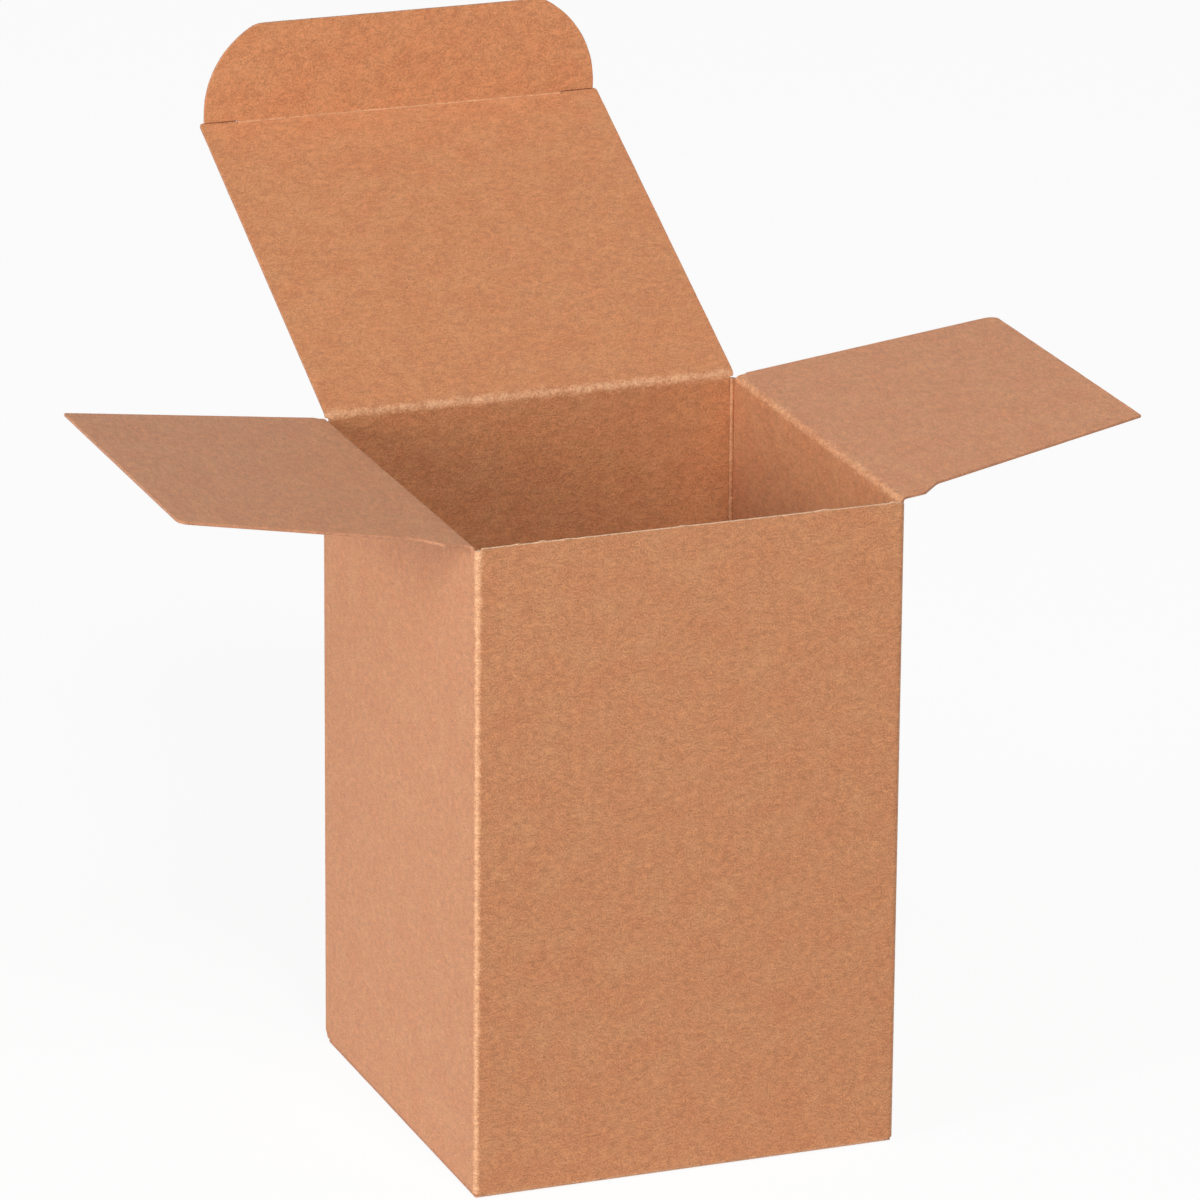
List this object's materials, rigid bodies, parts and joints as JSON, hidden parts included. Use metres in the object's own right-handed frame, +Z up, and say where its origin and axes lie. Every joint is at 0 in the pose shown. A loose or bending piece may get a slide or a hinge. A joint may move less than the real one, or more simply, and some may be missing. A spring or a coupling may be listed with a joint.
{
  "type": "open cardboard box",
  "caption": "Small upright folding carton of plain kraft board with a tuck lid and dust flaps standing open at the top, closed at the bottom.",
  "frame": {"origin": "centre of the base, on the surface the carton stands on", "axes": "+X to the carton's right, +Y to its back where the lid is hinged, +Z up out of the open top"},
  "size_m": [0.1738, 0.1472, 0.1689],
  "materials": {
    "kraft_board": "matt, uncoated, with a fibre mottle"
  },
  "bodies": {
    "carton_body": {"carton_body": "kraft_board"},
    "top_lid": {"top_lid": "kraft_board"},
    "top_tuck_flap": {"top_tuck_flap": "kraft_board"},
    "left_dust_flap": {"left_dust_flap": "kraft_board"},
    "right_dust_flap": {"right_dust_flap": "kraft_board"},
    "bottom_lid": {"bottom_lid": "kraft_board"},
    "bottom_tuck_flap": {"bottom_tuck_flap": "kraft_board"}
  },
  "joints": [
    {"name": "top_lid_hinge", "type": "hinge", "parent": "carton_body", "child": "top_lid", "pos_m": [0, 0.039, 0.1163], "axis": [1, 0, 0], "range_deg": [-111.4, 153.6]},
    {"name": "top_tuck_hinge", "type": "hinge", "parent": "top_lid", "child": "top_tuck_flap", "pos_m": [0, 0.10788, 0.15049], "axis": [1, 0, 0], "range_deg": [-24.68, 34.02]},
    {"name": "left_dust_flap_hinge", "type": "hinge", "parent": "carton_body", "child": "left_dust_flap", "pos_m": [-0.0385, 0, 0.11572], "axis": [0, 1, 0], "range_deg": [-92, 173]},
    {"name": "right_dust_flap_hinge", "type": "hinge", "parent": "carton_body", "child": "right_dust_flap", "pos_m": [0.0385, 0, 0.11572], "axis": [0, -1, 0], "range_deg": [-91.9, 174.6]},
    {"name": "bottom_lid_hinge", "type": "hinge", "parent": "carton_body", "child": "bottom_lid", "pos_m": [0, -0.039, 0], "axis": [-1, 0, 0], "range_deg": [0, 265]},
    {"name": "bottom_tuck_hinge", "type": "hinge", "parent": "bottom_lid", "child": "bottom_tuck_flap", "pos_m": [0, 0.0379, 0], "axis": [-1, 0, 0], "range_deg": [-0.02, 58.68]}
  ],
  "couplings": [
    {"joint": "top_tuck_hinge", "follows": "top_lid_hinge", "ratio": 0.22135},
    {"joint": "bottom_tuck_hinge", "follows": "bottom_lid_hinge", "ratio": 0.22135}
  ]
}
